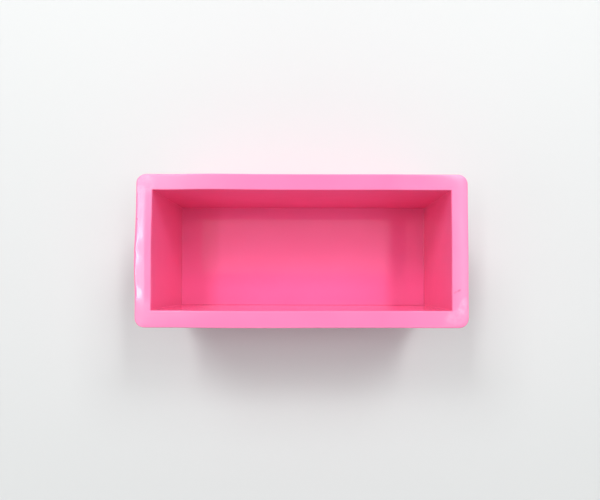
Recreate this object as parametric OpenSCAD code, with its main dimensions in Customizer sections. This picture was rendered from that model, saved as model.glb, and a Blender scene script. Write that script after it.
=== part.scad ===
// Silicone loaf mould: one open box moulding with a flat rim all round.
// X runs along the loaf, Y across it, Z up. The origin is the middle of the base, on the surface it stands on.
// The moulding is divided where it flexes: each wall with its rim strip tilts outward about the
// inner edge of the floor, and the floor pan with the four corner posts stays where it stands.

/* [Cavity] */
// Length of the cavity at its mouth
cavity_l = 200; // [140:1:260]
// Width of the cavity at its mouth
cavity_w = 80.5; // [60:0.5:120]
// Depth of the cavity
cavity_d = 78; // [50:1:100]
// How much each side of the cavity's floor lies inside its mouth, so that the loaf comes out
draft = 0.3; // [0.1:0.1:2]

/* [Moulding] */
// Thickness of the walls at the mouth
wall_t = 4; // [2.5:0.5:6]
// Thickness of the floor
floor_t = 4; // [3:0.5:8]
// Radius of the body's upright outer corners
body_r = 4.5; // [1:0.5:5]
// Width of the rim, from the mouth of the cavity to its outer edge
rim_w = 10.75; // [9:0.25:16]
// Thickness of the rim
rim_t = 3.5; // [2:0.5:6]
// Radius of the rim's four corners
rim_r = 6.5; // [1:0.5:9]
// Radius of the fillet between the walls and the underside of the rim
fillet_r = 2; // [0.5:0.5:2.5]

/* [Flex] */
// Length of each leg of a corner post, which stays upright when the walls tilt
corner_leg = 8; // [6:1:14]
// Furthest outward tilt of a long wall, in degrees
long_tilt = 12; // [4:1:15]
// Furthest outward tilt of an end wall, in degrees
end_tilt = 5; // [2:1:8]

/* [Hidden] */
$fn = 48;
total_h = floor_t + cavity_d;
rim_z = total_h - rim_t;
// Half sizes of the cavity's mouth and of its floor
mouth = [cavity_l / 2, cavity_w / 2];
pan = [mouth[0] - draft, mouth[1] - draft];
body = [mouth[0] + wall_t, mouth[1] + wall_t];
rim = [mouth[0] + rim_w, mouth[1] + rim_w];
// Where the corner posts end and the tilting walls begin
post = [mouth[0] - corner_leg, mouth[1] - corner_leg];
// Extra tilt that the relief under a wall leaves free, in degrees
spare_tilt = 0.5;
// How far a cutting shape runs past what it cuts
past = 1;

silicone = [0.96, 0.4, 0.65];

// A rectangle of the given half sizes with round corners
module rounded_rectangle(half, r) {
    square([2 * half[0], 2 * (half[1] - r)], center = true);
    square([2 * (half[0] - r), 2 * half[1]], center = true);
    for (x = [-1, 1], y = [-1, 1])
        translate([x * (half[0] - r), y * (half[1] - r)]) circle(r);
}

// One pair of the cavity's sloping sides, seen end on: half width against height
module cavity_section(half_pan, half_mouth) {
    slope = (half_mouth - half_pan) / cavity_d;
    half_top = half_mouth + slope * past;
    polygon([
        [-half_pan, floor_t], [half_pan, floor_t],
        [half_top, total_h + past], [-half_top, total_h + past]
    ]);
}

module cavity() {
    intersection() {
        rotate([90, 0, 90])
            linear_extrude(height = 2 * rim[0], center = true) cavity_section(pan[1], mouth[1]);
        rotate([90, 0, 0])
            linear_extrude(height = 2 * rim[1], center = true) cavity_section(pan[0], mouth[0]);
    }
}

// Section of the fillet: the wall's outer face is at x = 0 and the rim's underside at y = 0
module fillet_section() {
    difference() {
        translate([0, -fillet_r]) square(fillet_r);
        translate([fillet_r, -fillet_r]) circle(fillet_r);
    }
}

// The fillet along one straight side that faces -Y
module straight_fillet(half_length, face) {
    translate([0, -face, rim_z])
        rotate([90, 0, -90])
            linear_extrude(height = 2 * half_length, center = true) fillet_section();
}

// The fillet round the corner at -X, -Y
module corner_fillet() {
    translate([-(body[0] - body_r), -(body[1] - body_r), rim_z])
        rotate([0, 0, 180])
            rotate_extrude(angle = 90) translate([body_r, 0]) fillet_section();
}

// The outside of the body below the rim, full height from the base
module body_block() {
    linear_extrude(height = rim_z) rounded_rectangle(body, body_r);
}

module rim_plate() {
    translate([0, 0, rim_z])
        linear_extrude(height = rim_t) rounded_rectangle(rim, rim_r);
}

// A box between two corners
module zone(low, high) {
    translate(low) cube(high - low);
}

// Wall that faces -Y, between two posts, before the cavity is cut from it
module wall_block(half_span, outer, inner) {
    zone([-half_span, -outer, floor_t], [half_span, -inner, total_h]);
}

// Strip of rim that stands out from a wall facing -Y, with the fillet below it
module rim_strip(half_span, outer, edge) {
    zone([-half_span, -edge, rim_z], [half_span, -outer, total_h]);
    straight_fillet(half_span, outer);
}

module long_wall() {
    color(silicone) difference() {
        wall_block(post[0], body[1], pan[1]);
        cavity();
    }
}

module end_wall() {
    color(silicone) difference() {
        rotate([0, 0, -90]) wall_block(post[1], body[0], pan[0]);
        cavity();
    }
}

module long_rim() {
    color(silicone) rim_strip(post[0], body[1], rim[1]);
}

module end_rim() {
    color(silicone) rotate([0, 0, -90]) rim_strip(post[1], body[0], rim[0]);
}

// The upright corner at -X, -Y with its corner of the rim
module corner_post() {
    color(silicone) difference() {
        intersection() {
            union() {
                body_block();
                rim_plate();
                straight_fillet(body[0] - body_r, body[1]);
                rotate([0, 0, -90]) straight_fillet(body[1] - body_r, body[0]);
                corner_fillet();
            }
            zone([-rim[0] - past, -rim[1] - past, floor_t], [-post[0], -post[1], total_h]);
        }
        cavity();
    }
}

// Wedge cut from the pan's edge so that a wall on that side can tilt: the wall pivots on the wedge's thin edge
module tilt_relief(half_span, outer, inner, tilt) {
    reach = outer + past - inner;
    translate([0, -inner, floor_t])
        rotate([90, 0, -90])
            linear_extrude(height = 2 * half_span, center = true)
                polygon([[0, 0], [reach, 0], [reach, -reach * tan(tilt + spare_tilt)]]);
}

module floor_pan() {
    color(silicone) difference() {
        linear_extrude(height = floor_t) rounded_rectangle(body, body_r);
        for (turn = [0, 180])
            rotate([0, 0, turn]) tilt_relief(post[0], body[1], pan[1], long_tilt);
        for (turn = [90, 270])
            rotate([0, 0, turn]) tilt_relief(post[1], body[0], pan[0], end_tilt);
    }
}

// Puts a piece made for the front or the left on the opposite side instead
module on_side(right = false, back = false) {
    mirror([right ? 1 : 0, 0, 0]) mirror([0, back ? 1 : 0, 0]) children();
}

floor_pan();
on_side() corner_post();  // corner_post_front_left
on_side(right = true) corner_post();  // corner_post_front_right
on_side(back = true) corner_post();  // corner_post_back_left
on_side(right = true, back = true) corner_post();  // corner_post_back_right
on_side() long_wall();  // front_wall
on_side(back = true) long_wall();  // back_wall
on_side() end_wall();  // left_end_wall
on_side(right = true) end_wall();  // right_end_wall
on_side() long_rim();  // front_rim
on_side(back = true) long_rim();  // back_rim
on_side() end_rim();  // left_end_rim
on_side(right = true) end_rim();  // right_end_rim
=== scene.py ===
"""A silicone loaf mould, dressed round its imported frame: one continuous skin, cut where the walls flex."""

import math

import bmesh
import bpy
import numpy as np
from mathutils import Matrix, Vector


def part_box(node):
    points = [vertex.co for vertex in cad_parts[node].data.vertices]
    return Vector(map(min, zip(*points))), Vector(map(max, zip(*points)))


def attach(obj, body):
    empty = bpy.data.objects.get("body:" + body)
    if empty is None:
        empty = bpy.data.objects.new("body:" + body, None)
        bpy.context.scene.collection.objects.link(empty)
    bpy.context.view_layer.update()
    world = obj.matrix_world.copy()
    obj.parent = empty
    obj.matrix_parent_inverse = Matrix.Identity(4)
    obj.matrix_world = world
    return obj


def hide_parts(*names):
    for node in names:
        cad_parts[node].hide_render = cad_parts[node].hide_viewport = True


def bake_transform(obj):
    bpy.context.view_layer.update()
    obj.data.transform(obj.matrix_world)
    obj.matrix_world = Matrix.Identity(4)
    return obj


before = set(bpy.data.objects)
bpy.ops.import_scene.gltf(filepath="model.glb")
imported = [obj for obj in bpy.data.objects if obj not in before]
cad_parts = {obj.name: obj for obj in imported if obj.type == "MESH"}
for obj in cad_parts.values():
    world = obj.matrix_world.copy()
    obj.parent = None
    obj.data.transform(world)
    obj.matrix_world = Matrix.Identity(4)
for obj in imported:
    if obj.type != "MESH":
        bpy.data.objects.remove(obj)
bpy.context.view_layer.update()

MM = 0.001
SAME_PLACE = 0.001 * MM  # points nearer than this count as one

# ---------------------------------------------------------------- sizes, all from the frame's boxes
floor_low, floor_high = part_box("floor_pan")
wall_low, wall_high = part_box("front_wall")
end_low, end_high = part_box("left_end_wall")
rim_low, rim_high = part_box("front_rim")

POST_X = wall_high.x  # the corner posts end here, along the long sides
POST_Y = end_high.y  # and here, along the ends
BODY = floor_high.y  # reach of a row: how far its long sides lie from the middle
FOOT = -wall_high.y  # the cavity's foot, about which a wall turns
RIM = -rim_low.y
SPARE = floor_high.x - BODY  # how much further the ends lie than the long sides
FLOOR_Z = floor_high.z
TOP = rim_high.z
LIP_FILLET = 2.0 * MM
LIP_Z = rim_low.z + LIP_FILLET
DRAFT = 0.3 * MM
MOUTH = FOOT + DRAFT

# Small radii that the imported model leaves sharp
FOOT_R = 0.25 * MM
MOUTH_R = 0.5 * MM
RIM_TOP_R = 0.7 * MM
RIM_UNDER_R = 0.8 * MM
BASE_R = 1.0 * MM
FLASH = 0.15 * MM  # height of the moulding flash round the rim's edge
FLASH_DROP = 0.3 * MM  # how far the flash lies below the middle of the edge

# Corner radii seen from above
FLOOR_CORNER = 0.05 * MM  # of the rows in the middle of the floor
CAVITY_CORNER = 0.35 * MM
MOUTH_CORNER = CAVITY_CORNER + 1.5 * MM
BODY_CORNER = 4.5 * MM
RIM_CORNER = 6.5 * MM


# ---------------------------------------------------------------- the skin's rows, floor to underside
def arc(centre, radius, start, end, steps=4):
    """Points round part of a circle, as (reach, height), from one angle in degrees to another."""
    turns = np.radians(np.linspace(start, end, steps + 1))
    return [(centre[0] + radius * math.cos(a), centre[1] + radius * math.sin(a)) for a in turns]


def line(start, end, steps):
    """Points along a straight stretch, as (reach, height), without its first point."""
    return [tuple(p) for p in np.linspace(start, end, steps + 1)[1:]]


def with_corners(points, first, last):
    """Gives each point of a stretch its row's corner radius, changing evenly along the stretch."""
    radii = np.linspace(first, last, len(points))
    return [(reach, z, radius) for (reach, z), radius in zip(points, radii)]


def parallel(points, reach_0, radius_0):
    """Gives each point a corner radius that keeps its row parallel to the row of the given reach."""
    return [(reach, z, radius_0 + reach - reach_0) for reach, z in points]


def skin_rows():
    """Rows (reach, height, corner radius), and the numbers of the two rows where the walls leave the base."""
    rows = [(POST_Y, FLOOR_Z, 0.0)]
    floor = line((POST_Y, FLOOR_Z), (FOOT - FOOT_R, FLOOR_Z), 4)
    rows += with_corners(floor, FLOOR_CORNER, CAVITY_CORNER - FOOT_R)
    foot = arc((FOOT - FOOT_R, FLOOR_Z + FOOT_R), FOOT_R, -90, 0)
    rows += parallel(foot[1:], FOOT, CAVITY_CORNER)
    foot_row = len(rows) - 1 - len(foot) // 2
    mouth_start = (MOUTH, TOP - MOUTH_R)
    rows += with_corners(line(foot[-1], mouth_start, 26), CAVITY_CORNER, CAVITY_CORNER)
    mouth = arc((MOUTH + MOUTH_R, TOP - MOUTH_R), MOUTH_R, 180, 90)
    rows += parallel(mouth[1:], MOUTH, CAVITY_CORNER)
    rim_top = line(mouth[-1], (RIM - RIM_TOP_R, TOP), 10)
    rows += with_corners(rim_top, MOUTH_CORNER, RIM_CORNER - RIM_TOP_R)
    edge = arc((RIM - RIM_TOP_R, TOP - RIM_TOP_R), RIM_TOP_R, 90, 0)[1:]
    flash_z = (TOP + LIP_Z) / 2 - FLASH_DROP
    edge += [(RIM, flash_z + FLASH), (RIM + FLASH, flash_z), (RIM, flash_z - FLASH)]
    edge += arc((RIM - RIM_UNDER_R, LIP_Z + RIM_UNDER_R), RIM_UNDER_R, 0, -90)
    rows += parallel(edge, RIM, RIM_CORNER)
    underside = line(edge[-1], (BODY + LIP_FILLET, LIP_Z), 4)
    rows += with_corners(underside, RIM_CORNER - RIM_UNDER_R, BODY_CORNER + LIP_FILLET)
    fillet = arc((BODY + LIP_FILLET, LIP_Z - LIP_FILLET), LIP_FILLET, 90, 180)
    rows += parallel(fillet[1:], BODY, BODY_CORNER)
    rows += with_corners(line((BODY, LIP_Z - LIP_FILLET), (BODY, FLOOR_Z), 26), BODY_CORNER, BODY_CORNER)
    sole_row = len(rows) - 1
    rows += with_corners(line((BODY, FLOOR_Z), (BODY, BASE_R), 2), BODY_CORNER, BODY_CORNER)
    base = arc((BODY - BASE_R, BASE_R), BASE_R, 0, -90)
    rows += parallel(base[1:], BODY, BODY_CORNER)
    rows += with_corners(line(base[-1], (POST_Y, 0.0), 4), BODY_CORNER - 2 * BASE_R, 0.0)
    return rows, foot_row, sole_row


# ---------------------------------------------------------------- stations round a row
LONG_STEPS = 92
END_STEPS = 32
STRAIGHT_STEPS = 4
ARC_STEPS = 8
long_x = np.linspace(-POST_X, POST_X, LONG_STEPS + 1)
end_y = np.linspace(-POST_Y, POST_Y, END_STEPS + 1)


def corner_points(reach, radius):
    """Points of a row round its front right corner, between the two post lines and without their points."""
    half_x, half_y = reach + SPARE, reach
    start = np.linspace((POST_X, -half_y), (half_x - radius, -half_y), STRAIGHT_STEPS + 1)
    turns = np.radians(np.linspace(-90, 0, ARC_STEPS + 1))[1:-1]
    middle = np.stack([half_x - radius + radius * np.cos(turns), radius - half_y + radius * np.sin(turns)], 1)
    end = np.linspace((half_x, radius - half_y), (half_x, -POST_Y), STRAIGHT_STEPS + 1)
    return np.concatenate([start[1:], middle, end[:-1]])


CORNER_POINTS = 2 * STRAIGHT_STEPS + ARC_STEPS - 1
# First station of each side, going round from the front left post line: front, right, back, left
SIDE_START = [0, LONG_STEPS + 1 + CORNER_POINTS]
SIDE_START += [s + SIDE_START[1] + END_STEPS + 1 + CORNER_POINTS for s in SIDE_START]
STATIONS = SIDE_START[3] + END_STEPS + 1 + CORNER_POINTS


def row_points(reach, z, radius):
    """All the points of one row, anticlockwise from above."""
    half_x, half_y = reach + SPARE, reach
    front = np.stack([long_x, np.full(len(long_x), -half_y)], 1)
    right = np.stack([np.full(len(end_y), half_x), end_y], 1)
    corner = corner_points(reach, radius)
    half_turn = np.concatenate([front, corner, right, corner[::-1] * (1, -1)])
    flat = np.concatenate([half_turn, -half_turn])
    return np.column_stack([flat, np.full(len(flat), z)])


# ---------------------------------------------------------------- how the moulding departs from nominal
# Outward bows of each wall at its mouth: how far, where along the wall, and over what spread
BACK_BOWS = [(0.35 * MM, -60 * MM, 28 * MM), (0.12 * MM, 55 * MM, 30 * MM)]
FRONT_BOWS = [(0.33 * MM, -33 * MM, 45 * MM)]
LEFT_BOWS = [(0.35 * MM, 2 * MM, 20 * MM)]
RIGHT_BOWS = [(0.13 * MM, 0, 18 * MM)]
LONG_BOW_FADE = 25 * MM  # the bows fade over this stretch before a corner post, on the long walls
END_BOW_FADE = 12 * MM  # and over this one on the ends

# The rim, which was trimmed a little wide in front and on the right, and which sags under its weight
SIDE_FADE = 14 * MM  # past a post line, a side's own shift grows to its full size over this stretch
FRONT_SPARE = 0.6 * MM
RIGHT_SPARE = 0.45 * MM
SAG = 0.12 * MM
RIGHT_SAG = 0.25 * MM  # further sag of the rim on the right

# The stretch of the left rim that handling has bent and polished
WORN_FRONT = -38 * MM
WORN_BACK = 48 * MM
WORN_PRESS = (0.6 * MM, -8 * MM, 16 * MM)  # how it is pressed out, as the bows above
WORN_DIP = 0.3 * MM  # how far it dips over the wall
CALM_BACK = 25 * MM  # its ripple has calmed down here, towards the back


def smooth(t):
    """A smooth step: 0 below 0, and 1 above 1."""
    t = np.clip(t, 0, 1)
    return t * t * (3 - 2 * t)


def bump(t, height, centre, spread):
    """A bell of the given height."""
    return height * np.exp(-(((t - centre) / spread) ** 2))


def wave(t, height, length, phase=0.0):
    """A sine wave whose crests lie 2 pi lengths apart."""
    return height * np.sin(t / length + phase)


def worn_lip(points):
    """How much a point lies on the worn stretch of the left rim, from 0 to 1."""
    x, y, _ = points.T
    from_front = smooth((y - WORN_FRONT) / (8 * MM))
    from_back = smooth((WORN_BACK - y) / (12 * MM))
    return smooth((-x - POST_X) / SIDE_FADE) * from_front * from_back


def wall_bows(points, height):
    """How far the walls bow out across X and Y, between the corner posts."""
    x, y, _ = points.T
    along_long = smooth((POST_X - abs(x)) / LONG_BOW_FADE)
    along_end = smooth((POST_Y - abs(y)) / END_BOW_FADE)
    back, front = (sum(bump(x, *bow) for bow in bows) for bows in (BACK_BOWS, FRONT_BOWS))
    right, left = (sum(bump(y, *bow) for bow in bows) for bows in (RIGHT_BOWS, LEFT_BOWS))
    on_long = (abs(y) >= POST_Y - SAME_PLACE) & (abs(x) <= POST_X + SAME_PLACE)
    on_end = (abs(x) >= POST_X - SAME_PLACE) & (abs(y) <= POST_Y + SAME_PLACE)
    dx = np.where(on_end, along_end * height * np.where(x > 0, right, -left), 0)
    dy = np.where(on_long, along_long * height * np.where(y > 0, back, -front), 0)
    return dx, dy


def rim_shifts(points, lip):
    """How far the rim stands out across X and Y beyond its nominal outline, and how far it drops."""
    x, y, _ = points.T
    front_side, right_side, left_side = (
        smooth(past_post / SIDE_FADE) for past_post in (-y - POST_Y, x - POST_X, -x - POST_X)
    )
    dx = lip * (RIGHT_SPARE * right_side - bump(y, *WORN_PRESS) * left_side)
    dy = -lip * FRONT_SPARE * front_side
    drop = lip**1.4 * (SAG + wave(x, 0.05 * MM, 17 * MM) + wave(y, 0.04 * MM, 9 * MM))
    return dx, dy, drop + lip**3 * RIGHT_SAG * right_side


def relax(points, reach):
    """Moves points as a soft moulding settles: its walls bow out, and its rim hangs and waves a little."""
    x, y, z = points.T
    height = np.clip((z - FLOOR_Z) / (TOP - FLOOR_Z), 0, 1) ** 1.5
    lip = np.clip((reach - BODY) / (RIM - BODY), 0, 1)
    over_wall = np.clip((BODY - reach) / (BODY - MOUTH), 0, 1) * (reach > FOOT) * height
    bow_x, bow_y = wall_bows(points, height)
    rim_x, rim_y, drop = rim_shifts(points, lip)
    ripple = wave(y, 0.045 * MM, 3.3 * MM, 0.53) + wave(y, 0.03 * MM, 1.9 * MM, 0.8)
    ripple *= 1 - 0.4 * smooth(y / CALM_BACK)
    worn = worn_lip(points) * (lip**2 * ripple - WORN_DIP * over_wall)
    top_wave = wave(x, 0.05 * MM, 21 * MM, 1.3) + wave(y, 0.04 * MM, 13 * MM, 0.4)
    above_mouth = height * (reach > MOUTH - 1 * MM)
    return points + np.stack([bow_x + rim_x, bow_y + rim_y, worn - drop + above_mouth * top_wave], 1)


# ---------------------------------------------------------------- one skin, then its patches
rows, FOOT_ROW, SOLE_ROW = skin_rows()
LAST_ROW = len(rows) - 1
grid_points = np.concatenate([row_points(*row) for row in rows])
grid_reach = np.repeat([row[0] for row in rows], STATIONS)
pad_xy = np.array([(x, y) for y in end_y for x in long_x])
floor_pad = np.column_stack([pad_xy, np.full(len(pad_xy), FLOOR_Z)])
under_pad = np.column_stack([pad_xy, np.zeros(len(pad_xy))])
rest_points = np.concatenate([grid_points, floor_pad, under_pad])
rest_reach = np.concatenate([grid_reach, np.zeros(2 * len(pad_xy))])
skin_points = relax(rest_points, rest_reach)


def how_far_inside(number, row):
    """How far inside a row lies: 1 on the cavity's floor, half on its walls, 0 outside it."""
    if number <= FOOT_ROW:
        return 1.0
    return 0.5 if row[0] < MOUTH and number < SOLE_ROW else 0.0


row_inside = [how_far_inside(number, row) for number, row in enumerate(rows)]
skin_inside = np.concatenate([np.repeat(row_inside, STATIONS), np.ones(len(pad_xy)), np.zeros(len(pad_xy))])
# The mould's core was polished, and the worn lip has been rubbed smooth, most of all in front
on_lip = smooth((rest_reach - BODY + 0.6 * MM) / (1.5 * MM)) * (rest_points[:, 2] > TOP - 2 * MM)
rubbed = 0.8 - 0.3 * smooth(rest_points[:, 1] / CALM_BACK)
skin_polish = np.maximum(skin_inside**0.5, rubbed * worn_lip(rest_points) * on_lip)
# A greyer line painted along the rim's outer edge, left off the worn lip
skin_greyer_edge = smooth((rest_reach - RIM + 1.0 * MM) / (0.8 * MM)) * (1 - worn_lip(rest_points))
FLOOR_PAD = len(grid_points)
UNDER_PAD = FLOOR_PAD + len(pad_xy)

# Points at the same place share one number, so that neighbouring faces join
_, first_seen, same_as = np.unique(
    np.round(rest_points / SAME_PLACE).astype(int), axis=0, return_index=True, return_inverse=True
)
shared = first_seen[same_as.ravel()]


def at(row, station):
    return shared[row * STATIONS + station % STATIONS]


def strip(first_row, last_row, first_station, last_station):
    """Quads over a run of rows and stations, as lists of point numbers."""
    return [
        [at(r, s), at(r, s + 1), at(r + 1, s + 1), at(r + 1, s)]
        for r in range(first_row, last_row)
        for s in range(first_station, last_station)
    ]


def pad(start):
    """Quads over the middle of the floor or of the underside."""
    width = LONG_STEPS + 1
    corners = [start + j * width + i for j in range(END_STEPS) for i in range(LONG_STEPS)]
    return [[shared[c], shared[c + 1], shared[c + width + 1], shared[c + width]] for c in corners]


def cut_face(station):
    """The face left where a wall is cut from top to sole."""
    return [at(r, station) for r in range(FOOT_ROW, SOLE_ROW + 1)]


def sole(first_station, last_station):
    """The faces left where a wall is cut from the floor slab below it."""
    return [
        [at(FOOT_ROW, s), at(FOOT_ROW, s + 1), at(SOLE_ROW, s + 1), at(SOLE_ROW, s)]
        for s in range(first_station, last_station)
    ]


def distinct(face):
    """A face without repeated points, which the rows' sharpest corners would give it."""
    return [p for i, p in enumerate(face) if p != face[i - 1]]


def skin_normals():
    """The whole skin's normal at each point, each face counting by its area, so that patches shade as one."""
    faces = np.array(
        strip(0, LAST_ROW, 0, STATIONS) + [f[::-1] for f in pad(FLOOR_PAD)] + pad(UNDER_PAD)
    )
    corner = skin_points[faces]
    area = np.cross(corner[:, 2] - corner[:, 0], corner[:, 3] - corner[:, 1])
    total = np.zeros_like(skin_points)
    for k in range(4):
        np.add.at(total, faces[:, k], area)
    length = np.linalg.norm(total, axis=1, keepdims=True)
    return total / np.maximum(length, 1e-12)


normals = skin_normals()
if normals[shared[FLOOR_PAD + len(pad_xy) // 2]][2] < 0:
    normals = -normals


def patch(name, open_faces, cut_faces):
    """A closed piece of the skin: its open faces shade as the whole skin does, and its cut faces are flat."""
    open_faces = [face for face in map(distinct, open_faces) if len(face) > 2]
    faces = open_faces + cut_faces
    used = sorted({p for face in faces for p in face})
    number = {p: i for i, p in enumerate(used)}
    mesh = bpy.data.meshes.new(name)
    mesh.from_pydata(skin_points[used].tolist(), [], [[number[p] for p in face] for face in faces])
    work = bmesh.new()
    work.from_mesh(mesh)
    work.faces.ensure_lookup_table()
    bmesh.ops.recalc_face_normals(work, faces=work.faces)
    cut = set(work.faces[len(open_faces):])
    for edge in work.edges:
        edge.smooth = not any(face in cut for face in edge.link_faces)
    work.to_mesh(mesh)
    work.free()
    mesh.shade_smooth()
    loop_normals = np.zeros((len(mesh.loops), 3))
    for index, polygon in enumerate(mesh.polygons):
        span = range(polygon.loop_start, polygon.loop_start + polygon.loop_total)
        for loop in span:
            point = used[mesh.loops[loop].vertex_index]
            loop_normals[loop] = normals[point] if index < len(open_faces) else polygon.normal
    mesh.normals_split_custom_set(loop_normals.tolist())
    place = mesh.attributes.new("rest_place", "FLOAT_VECTOR", "POINT")
    place.data.foreach_set("vector", skin_points[used].astype(np.float32).ravel())
    for attribute, values in (("polish", skin_polish), ("inside", skin_inside), ("edge", skin_greyer_edge)):
        layer = mesh.attributes.new(attribute, "FLOAT", "POINT")
        layer.data.foreach_set("value", values[used].astype(np.float32))
    piece = bpy.data.objects.new(name, mesh)
    bpy.context.scene.collection.objects.link(piece)
    return piece


# ---------------------------------------------------------------- material
# The silicone's colours, each as the two shades that its clouds lie between. The outside's shades are paler,
# partly a whitish bloom and partly a painted sheen. The cavity's shades are deeper red, which is painted red
# light that comes through the translucent walls.
OUTSIDE_PINK_PAINTED_SHEEN = ((0.955, 0.193, 0.412, 1), (0.960, 0.202, 0.424, 1))
WALL_PINK_PAINTED_RED_LIGHT = ((0.944, 0.167, 0.374, 1), (0.948, 0.173, 0.386, 1))
FLOOR_PINK_PAINTED_RED_LIGHT = ((0.928, 0.152, 0.380, 1), (0.932, 0.158, 0.392, 1))
# Pale colour of the rim's corner patches: partly a film, partly a painted highlight
FILM_AND_PAINTED_HIGHLIGHT = (0.985, 0.50, 0.72, 1)
# Painted shade for the crease round the cavity's floor
CREASE_SHADE = (0.62, 0.07, 0.17, 1)
# Colour of the greyer line painted along the rim's outer edge
GREYER_RIM_EDGE = (0.80, 0.30, 0.50, 1)
MARK = (0.52, 0.08, 0.20, 1)

# Oval spots on the moulding: centre, turn in degrees, half sizes and strength
# The pale patches on the rim's corners are partly a film and partly a painted highlight where the corners
# catch the light.
FILM_AND_HIGHLIGHT_SPOTS = [
    ((-105 * MM, 44 * MM, TOP), 35, (11 * MM, 9 * MM, 3 * MM), 0.3),  # the rim's back left corner
    ((107 * MM, -37.5 * MM, TOP), -20, (3.4 * MM, 8 * MM, 3 * MM), 0.45),  # its front right corner
    ((103 * MM, -44 * MM, TOP), 25, (11 * MM, 7 * MM, 3 * MM), 0.28),  # a haze round the last one
]
MARKS = [
    ((104.6 * MM, -26.7 * MM, TOP), 30, (1.9 * MM, 1.0 * MM, 2 * MM), 0.65),  # a scuff on the right rim
    ((102.2 * MM, -27.9 * MM, TOP), 30, (1.9 * MM, 0.9 * MM, 2 * MM), 0.4),  # a fainter one beside it
    ((-109.6 * MM, 20.6 * MM, TOP), 0, (0.8 * MM, 0.8 * MM, 1.2 * MM), 0.5),  # a speck on the left rim
    ((43.9 * MM, -FOOT, 22 * MM), 0, (0.9 * MM, 2 * MM, 32 * MM), 0.6),  # a flow line on the front wall
]


def add_node(tree, kind, inputs=None, **settings):
    """Adds a shader node, sets its properties, and sets or links its inputs by name or number."""
    made = tree.nodes.new(kind)
    for key, value in settings.items():
        setattr(made, key, value)
    for key, value in (inputs or {}).items():
        if isinstance(value, bpy.types.NodeSocket):
            tree.links.new(value, made.inputs[key])
        else:
            made.inputs[key].default_value = value
    return made


def noise(tree, place, scale, detail=2.0, rough=0.5):
    """Grey noise over the moulding's resting place, so that it stays put when a wall moves."""
    inputs = {"Vector": place, "Scale": scale, "Detail": detail, "Roughness": rough}
    return add_node(tree, "ShaderNodeTexNoise", inputs, noise_dimensions="3D").outputs["Fac"]


def between(tree, value, low, high, to_low, to_high):
    """Maps a number smoothly from one range to another."""
    inputs = {"Value": value, "From Min": low, "From Max": high, "To Min": to_low, "To Max": to_high}
    return add_node(tree, "ShaderNodeMapRange", inputs, interpolation_type="SMOOTHSTEP").outputs["Result"]


def maths(tree, operation, *values):
    return add_node(tree, "ShaderNodeMath", dict(enumerate(values)), operation=operation).outputs["Value"]


def product(tree, first, *others):
    """Multiplies any number of values."""
    for other in others:
        first = maths(tree, "MULTIPLY", first, other)
    return first


def mix(tree, factor, low, high):
    """Mixes two colours."""
    inputs = {"Factor": factor, "A": low, "B": high}
    return add_node(tree, "ShaderNodeMix", inputs, data_type="RGBA").outputs["Result"]


def spot(tree, place, centre, turn, half_sizes):
    """A soft-edged oval mark on the moulding: 1 in its middle, 0 outside it."""
    turned = (0, 0, math.radians(turn))
    inputs = {"Vector": place, "Location": centre, "Rotation": turned, "Scale": half_sizes}
    local = add_node(tree, "ShaderNodeMapping", inputs, vector_type="TEXTURE").outputs["Vector"]
    distance = add_node(tree, "ShaderNodeVectorMath", {0: local}, operation="LENGTH").outputs["Value"]
    return between(tree, distance, 0.4, 1.0, 1.0, 0.0)


def in_cavity(tree, inside):
    """1 on the cavity's walls and floor, 0 outside it."""
    return between(tree, inside, 0.1, 0.4, 0.0, 1.0)


def on_floor(tree, inside, elsewhere, on_it):
    """One value on the cavity's floor, and another on the rest of the moulding."""
    return between(tree, inside, 0.6, 0.9, elsewhere, on_it)


def pink_with_painted_light(tree, place, inside):
    """The silicone's clouded colour with painted light in it: paler outside, partly bloom and partly painted
    sheen, and deeper red on the cavity's walls and floor, which is painted light that comes through the
    walls.
    """
    cloud = between(tree, noise(tree, place, 24.0, 1.0), 0.35, 0.65, 0.0, 1.0)
    outside, walls, floor = (mix(tree, cloud, *shades) for shades in (OUTSIDE_PINK_PAINTED_SHEEN, WALL_PINK_PAINTED_RED_LIGHT, FLOOR_PINK_PAINTED_RED_LIGHT))
    colour = mix(tree, in_cavity(tree, inside), outside, walls)
    return mix(tree, on_floor(tree, inside, 0.0, 1.0), colour, floor)


def with_film_and_painted_highlight(tree, place, colour):
    """Adds the pale patches on two of the rim's corners, which are partly a whitish film and partly a painted
    highlight.
    """
    blotches = between(tree, noise(tree, place, 170.0, 3.0, 0.55), 0.35, 0.7, 0.25, 1.0)
    for *shape, strength in FILM_AND_HIGHLIGHT_SPOTS:
        film_and_highlight = product(tree, spot(tree, place, *shape), blotches, strength)
        colour = mix(tree, film_and_highlight, colour, FILM_AND_PAINTED_HIGHLIGHT)
    return colour


def with_painted_crease_shade(tree, place, inside, colour):
    """Adds painted shade in the crease round the cavity's floor, most of it in front."""
    x, y, z = add_node(tree, "ShaderNodeSeparateXYZ", {"Vector": place}).outputs
    from_middle = maths(tree, "SUBTRACT", maths(tree, "ABSOLUTE", x), SPARE)
    reach = maths(tree, "MAXIMUM", maths(tree, "ABSOLUTE", y), from_middle)
    crease = between(tree, reach, FOOT - 0.7 * MM, FOOT - 0.1 * MM, 0.0, 1.0)
    low = between(tree, z, FLOOR_Z + 0.3 * MM, FLOOR_Z + 1.1 * MM, 1.0, 0.0)
    in_front = between(tree, y, -FOOT, FOOT, 0.55, 0.12)
    return mix(tree, product(tree, crease, low, in_cavity(tree, inside), in_front), colour, CREASE_SHADE)


def with_marks(tree, place, colour):
    """Adds the scuffs, the speck and the flow line."""
    for *shape, strength in MARKS:
        colour = mix(tree, product(tree, spot(tree, place, *shape), strength), colour, MARK)
    return colour


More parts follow.
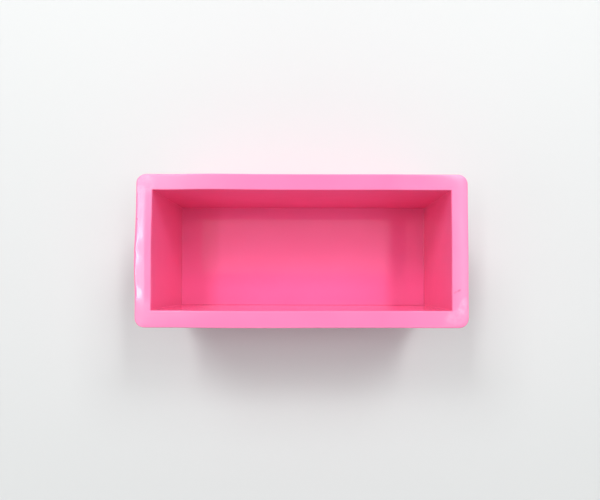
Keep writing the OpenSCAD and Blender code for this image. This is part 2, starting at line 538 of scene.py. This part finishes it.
def relief(tree, place, inside):
    """A faint orange peel over longer ripples, both of them weaker on the cavity's floor."""
    fine = {
        "Height": noise(tree, place, 320.0, 1.0),
        "Distance": 0.03 * MM,
        "Strength": on_floor(tree, inside, 0.5, 0.15),
    }
    coarse = {
        "Height": noise(tree, place, 70.0, 1.0),
        "Distance": 0.2 * MM,
        "Strength": on_floor(tree, inside, 0.4, 0.15),
        "Normal": add_node(tree, "ShaderNodeBump", fine).outputs["Normal"],
    }
    return add_node(tree, "ShaderNodeBump", coarse).outputs["Normal"]


def silicone():
    """Pink moulded silicone: satin outside, polished on the cavity's walls and floor and on the worn lip."""
    material = bpy.data.materials.new("pink_silicone")
    material.use_nodes = True
    tree = material.node_tree
    shader = tree.nodes["Principled BSDF"]
    place = add_node(tree, "ShaderNodeAttribute", attribute_name="rest_place").outputs["Vector"]
    polish, inside, edge = (
        add_node(tree, "ShaderNodeAttribute", attribute_name=name).outputs["Fac"]
        for name in ("polish", "inside", "edge")
    )
    colour = with_film_and_painted_highlight(tree, place, pink_with_painted_light(tree, place, inside))
    colour = with_painted_crease_shade(tree, place, inside, colour)
    colour = mix(tree, product(tree, edge, 0.5), colour, GREYER_RIM_EDGE)
    tree.links.new(with_marks(tree, place, colour), shader.inputs["Base Color"])

    satin = between(tree, noise(tree, place, 60.0, 2.0), 0.3, 0.7, 0.21, 0.265)
    roughness = product(tree, satin, between(tree, polish, 0.0, 1.0, 1.0, 0.25))
    tree.links.new(roughness, shader.inputs["Roughness"])
    tree.links.new(relief(tree, place, inside), shader.inputs["Normal"])
    shader.inputs["IOR"].default_value = 1.5
    return material


PINK = silicone()


# ---------------------------------------------------------------- the pieces
# Each side's place in SIDE_START, its steps, its body, and the start of its nodes' names
SIDES = {
    "front": (0, LONG_STEPS, "front_side", "front"),
    "right": (1, END_STEPS, "right_end", "right_end"),
    "back": (2, LONG_STEPS, "back_side", "back"),
    "left": (3, END_STEPS, "left_end", "left_end"),
}


def dress(piece):
    """Gives a patch the silicone."""
    piece.data.materials.append(PINK)


def make_core():
    """The floor, its slab and the four upright corners, which all stay with the base."""
    open_faces = pad(FLOOR_PAD) + pad(UNDER_PAD)
    open_faces += strip(0, FOOT_ROW, 0, STATIONS) + strip(SOLE_ROW, LAST_ROW, 0, STATIONS)
    cut_faces = []
    for number, steps, _, _ in SIDES.values():
        first = SIDE_START[number]
        last = first + steps
        following = SIDE_START[number + 1] if number < 3 else STATIONS
        open_faces += strip(FOOT_ROW, SOLE_ROW, last, following)
        cut_faces += [cut_face(first), cut_face(last)] + sole(first, last)
    core = patch("floor_and_corners", open_faces, cut_faces)
    dress(core)
    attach(core, "base")
    corners = [f"corner_post_{y}_{x}" for y in ("front", "back") for x in ("left", "right")]
    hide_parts("floor_pan", *corners)


def make_half_wall(side, half):
    """One half of a wall with its rim, from a corner post to the wall's middle, where it tilts furthest."""
    number, steps, body, node = SIDES[side]
    first = SIDE_START[number] + (steps // 2 if half == "second" else 0)
    last = first + steps // 2
    open_faces = strip(FOOT_ROW, SOLE_ROW, first, last)
    cut_faces = [cut_face(first), cut_face(last)] + sole(first, last)
    piece = patch(f"{side}_wall_{half}_half", open_faces, cut_faces)
    dress(piece)
    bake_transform(piece)
    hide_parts(f"{node}_wall", f"{node}_rim")


make_core()
for side in SIDES:
    for half in ("first", "second"):
        make_half_wall(side, half)


# ---------------------------------------------------------------- stage, light and camera
CEILING = 2.0  # height of the lights above the mould's rim, in metres
HORIZON_GLOW = 0.54
OVERHEAD_GLOW = 0.13
STAGE_HALF = 3.0  # half the white surface's width, in metres
# The ceiling's panels: left, right, front and back edges, in degrees from straight up, and radiance
PANELS = {
    "left_tube_near": (-23.8, -18.0, -8, 10, 5.5),
    "left_tube_middle": (-23.6, -15.5, 10, 25, 5.4),
    "left_tube_far": (-23.6, -15.5, 25, 42, 17.9),
    "left_glint": (-25.2, -23.8, -12, 22, 20.0),
    "right_tube_near": (20.0, 26.9, -15, 20, 5.9),
    "right_tube_far": (19.5, 26.9, 20, 42, 17.2),
    "left_softbox_near": (-44, -23.6, -10, 15, 1.3),
    "left_softbox_far": (-44, -23.6, 32, 52, 7.6),
    "right_softbox_near": (26.9, 44, -10, 15, 2.25),
    "right_softbox_far": (26.9, 44, 32, 52, 8.0),
    "left_fill": (-66, -44, -50, 0, 0.85),
    "right_fill": (44, 66, -50, 0, 0.46),
    "front_fill": (-62, 62, -68, -45, 0.55),
    "back_fill": (-62, 62, 52, 68, 0.64),
    "overhead_gleam": (-15.1, 11.7, 0.8, 16, 0.77),
}


def make_floor():
    """The white surface that the mould stands on."""
    corners = [(x * STAGE_HALF, y * STAGE_HALF, 0) for x, y in ((-1, -1), (1, -1), (1, 1), (-1, 1))]
    mesh = bpy.data.meshes.new("studio_floor")
    mesh.from_pydata(corners, [], [(0, 1, 2, 3)])
    floor = bpy.data.objects.new("studio_floor", mesh)
    bpy.context.scene.collection.objects.link(floor)
    material = bpy.data.materials.new("white_surface")
    material.use_nodes = True
    shader = material.node_tree.nodes["Principled BSDF"]
    shader.inputs["Base Color"].default_value = (0.63, 0.645, 0.643, 1)
    shader.inputs["Roughness"].default_value = 0.6
    mesh.materials.append(material)


def make_panel(name, from_left, to_right, from_front, to_back, radiance):
    """A glowing panel in the ceiling, spanning the given angles from straight up, as the mould sees them."""
    left, right, front, back = (
        CEILING * math.tan(math.radians(angle)) for angle in (from_left, to_right, from_front, to_back)
    )
    data = bpy.data.lights.new(name, "AREA")
    data.shape = "RECTANGLE"
    data.size = right - left
    data.size_y = back - front
    data.energy = math.pi * data.size * data.size_y * radiance
    panel = bpy.data.objects.new(name, data)
    panel.location = ((left + right) / 2, (front + back) / 2, TOP + CEILING)
    bpy.context.scene.collection.objects.link(panel)


def make_world():
    """A room that glows round the horizon and is dark overhead, where the camera is held."""
    world = bpy.data.worlds.new("studio")
    world.use_nodes = True
    tree = world.node_tree
    direction = add_node(tree, "ShaderNodeTexCoord").outputs["Generated"]
    height = add_node(tree, "ShaderNodeSeparateXYZ", {"Vector": direction}).outputs["Z"]
    glow = between(tree, height, 0.0, 0.6, HORIZON_GLOW, OVERHEAD_GLOW)
    background = tree.nodes["Background"]
    background.inputs["Color"].default_value = (1, 1, 1, 1)
    tree.links.new(glow, background.inputs["Strength"])
    bpy.context.scene.world = world


def make_camera():
    """Almost straight above the mould, a little towards the front, as the reference view is framed."""
    data = bpy.data.cameras.new("camera")
    data.lens = 29.43
    data.sensor_width = 36.0
    data.shift_x = -0.014
    data.shift_y = 0.0284
    camera = bpy.data.objects.new("camera", data)
    camera.location = (4.41 * MM, -21.88 * MM, TOP + 325.7 * MM)
    camera.rotation_euler = (0.0326, -0.0005, 0.0020)
    bpy.context.scene.collection.objects.link(camera)
    bpy.context.scene.camera = camera


make_floor()
make_world()
for name, panel in PANELS.items():
    make_panel(name, *panel)
make_camera()
bpy.context.scene.view_settings.view_transform = "Standard"
